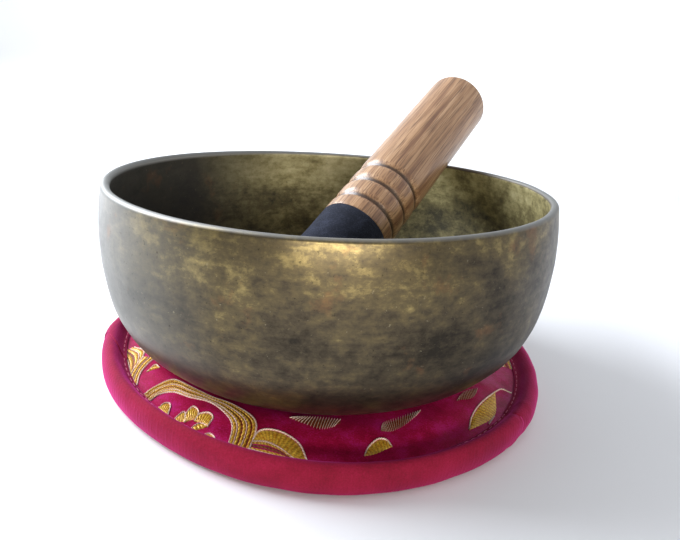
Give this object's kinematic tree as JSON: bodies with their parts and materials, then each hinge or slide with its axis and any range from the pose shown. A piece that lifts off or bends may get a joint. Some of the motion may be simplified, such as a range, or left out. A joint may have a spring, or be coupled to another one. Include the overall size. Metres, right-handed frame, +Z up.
{
  "type": "singing bowl set",
  "caption": "Hammered bronze singing bowl resting on a round padded brocade mat, with a suede-wrapped turned wooden mallet leaning inside it.",
  "frame": {"origin": "centre of the mat's flat underside, on the surface that the set stands on", "axes": "+Z up, +X to the right and +Y away from the user; the mallet leans towards +Y and a little towards +X"},
  "size_m": [0.1643, 0.1726, 0.1081],
  "materials": {
    "bronze": "hand-hammered bell metal with an antique olive and charcoal patina, satin, lip polished paler",
    "hardwood": "turned open-grained hardwood with satin lacquer and dark grooves",
    "suede": "near-black napped suede",
    "brocade": "magenta satin-weave brocade with gold metallic motifs",
    "rim_cotton": "plain magenta cotton, wrapped and puckered round a soft cord",
    "base_cotton": "plain magenta cotton",
    "wadding": "undyed cotton wadding",
    "thread": "magenta sewing thread"
  },
  "bodies": {
    "mat": {"mat_base_panel": "base_cotton", "mat_wadding": "wadding", "mat_top_panel": "brocade", "rim_cover_front": "rim_cotton", "rim_cover_back": "rim_cotton", "rim_filler_cord": "wadding", "rim_stitches": "thread"},
    "bowl": {"bowl": "bronze"},
    "mallet": {"mallet_stick": "hardwood", "suede_wrap": "suede", "suede_end_disc": "suede"}
  },
  "joints": [
    {"name": "bowl_lift", "type": "slide", "parent": "mat", "child": "bowl", "axis": [0, 0, 1], "range_m": [0, 0.1]},
    {"name": "mallet_draw", "type": "slide", "parent": "bowl", "child": "mallet", "axis": [0.4451, 0.7616, 0.471], "range_m": [0, 0.16]}
  ]
}
